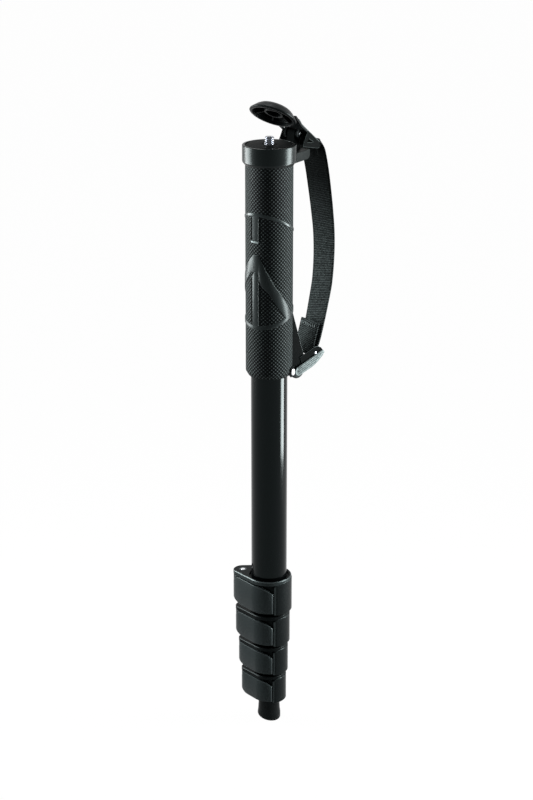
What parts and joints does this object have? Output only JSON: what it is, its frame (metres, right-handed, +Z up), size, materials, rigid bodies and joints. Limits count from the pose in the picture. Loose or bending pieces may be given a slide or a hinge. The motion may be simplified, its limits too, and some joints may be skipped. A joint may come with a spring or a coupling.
{
  "type": "camera monopod",
  "caption": "Compact telescopic camera monopod, closed, with flip cap over a 1/4 inch screw, knurled grip, wrist strap and lever locks.",
  "frame": {"origin": "centre of the camera screw where the camera seats on the top pad", "axes": "+Z points up out of the top along the tube axis; +X points to the side with the cap hinge and strap"},
  "size_m": [0.073, 0.0506, 0.4325],
  "materials": {
    "collar_paint": "satin black paint over a die-cast collar",
    "pad_rubber": "smooth dark pad",
    "bright_steel": "bright machined steel",
    "inner_plastic": "dark moulded plastic",
    "cap_plastic": "black moulded plastic with fine grain",
    "webbing": "black woven web with fine cross ribs",
    "grip_rubber": "dark knurled rubber with smooth raised bands",
    "buckle_grey": "grey moulded plastic with lengthwise ribs",
    "foot_rubber": "black moulded rubber",
    "anodised_tube": "black anodised aluminium with a low gloss",
    "lock_plastic": "dark grey satin moulding"
  },
  "bodies": {
    "handle": {"top_collar": "collar_paint", "top_pad": "pad_rubber", "camera_screw": "bright_steel", "head_plug": "inner_plastic", "tube_1": "anodised_tube", "grip_sleeve": "grip_rubber", "strap_bracket": "cap_plastic", "bracket_screws": "bright_steel", "buckle_pins": "bright_steel", "wrist_strap": "webbing", "lock_1_body": "lock_plastic", "lock_1_pin": "bright_steel", "lock_1_shoe": "inner_plastic"},
    "cap": {"flip_cap": "cap_plastic", "cap_hinge_pin": "bright_steel"},
    "buckle": {"buckle_side_plates": "buckle_grey", "buckle_channel": "cap_plastic", "strap_bar": "bright_steel"},
    "lever_1": {"lock_1_lever": "lock_plastic"},
    "lever_2": {"lock_2_lever": "lock_plastic"},
    "lever_3": {"lock_3_lever": "lock_plastic"},
    "lever_4": {"lock_4_lever": "lock_plastic"},
    "section_2": {"tube_2": "anodised_tube", "glide_bush_2": "inner_plastic", "lock_2_body": "lock_plastic", "lock_2_pin": "bright_steel", "lock_2_shoe": "inner_plastic"},
    "section_3": {"tube_3": "anodised_tube", "glide_bush_3": "inner_plastic", "lock_3_body": "lock_plastic", "lock_3_pin": "bright_steel", "lock_3_shoe": "inner_plastic"},
    "section_4": {"tube_4": "anodised_tube", "glide_bush_4": "inner_plastic", "lock_4_body": "lock_plastic", "lock_4_pin": "bright_steel", "lock_4_shoe": "inner_plastic"},
    "section_5": {"tube_5": "anodised_tube", "glide_bush_5": "inner_plastic", "foot_plug": "inner_plastic", "rubber_foot": "foot_rubber"}
  },
  "joints": [
    {"name": "cap_flip", "type": "hinge", "parent": "handle", "child": "cap", "pos_m": [0.0283, 0, 0.0025], "axis": [0, 1, 0], "range_deg": [-34, 56], "deforming": ["wrist_strap"]},
    {"name": "buckle_tilt", "type": "hinge", "parent": "handle", "child": "buckle", "pos_m": [0.01424, -0.00532, -0.1506], "axis": [0.3502, 0.9367, 0], "range_deg": [-8, 50], "deforming": ["wrist_strap"]},
    {"name": "lock_1_swing", "type": "hinge", "parent": "handle", "child": "lever_1", "pos_m": [-0.0029, 0.01938, -0.3085], "axis": [0, 0, -1], "range_deg": [0, 115]},
    {"name": "lock_2_swing", "type": "hinge", "parent": "section_2", "child": "lever_2", "pos_m": [-0.0027, 0.0181, -0.33385], "axis": [0, 0, -1], "range_deg": [0, 115]},
    {"name": "lock_3_swing", "type": "hinge", "parent": "section_3", "child": "lever_3", "pos_m": [-0.00245, 0.01642, -0.35705], "axis": [0, 0, -1], "range_deg": [0, 115]},
    {"name": "lock_4_swing", "type": "hinge", "parent": "section_4", "child": "lever_4", "pos_m": [-0.00222, 0.01483, -0.37915], "axis": [0, 0, -1], "range_deg": [0, 115]},
    {"name": "section_2_slide", "type": "slide", "parent": "handle", "child": "section_2", "axis": [0, 0, -1], "range_m": [0, 0.261]},
    {"name": "section_3_slide", "type": "slide", "parent": "section_2", "child": "section_3", "axis": [0, 0, -1], "range_m": [0, 0.261]},
    {"name": "section_4_slide", "type": "slide", "parent": "section_3", "child": "section_4", "axis": [0, 0, -1], "range_m": [0, 0.261]},
    {"name": "section_5_slide", "type": "slide", "parent": "section_4", "child": "section_5", "axis": [0, 0, -1], "range_m": [0, 0.261]}
  ]
}
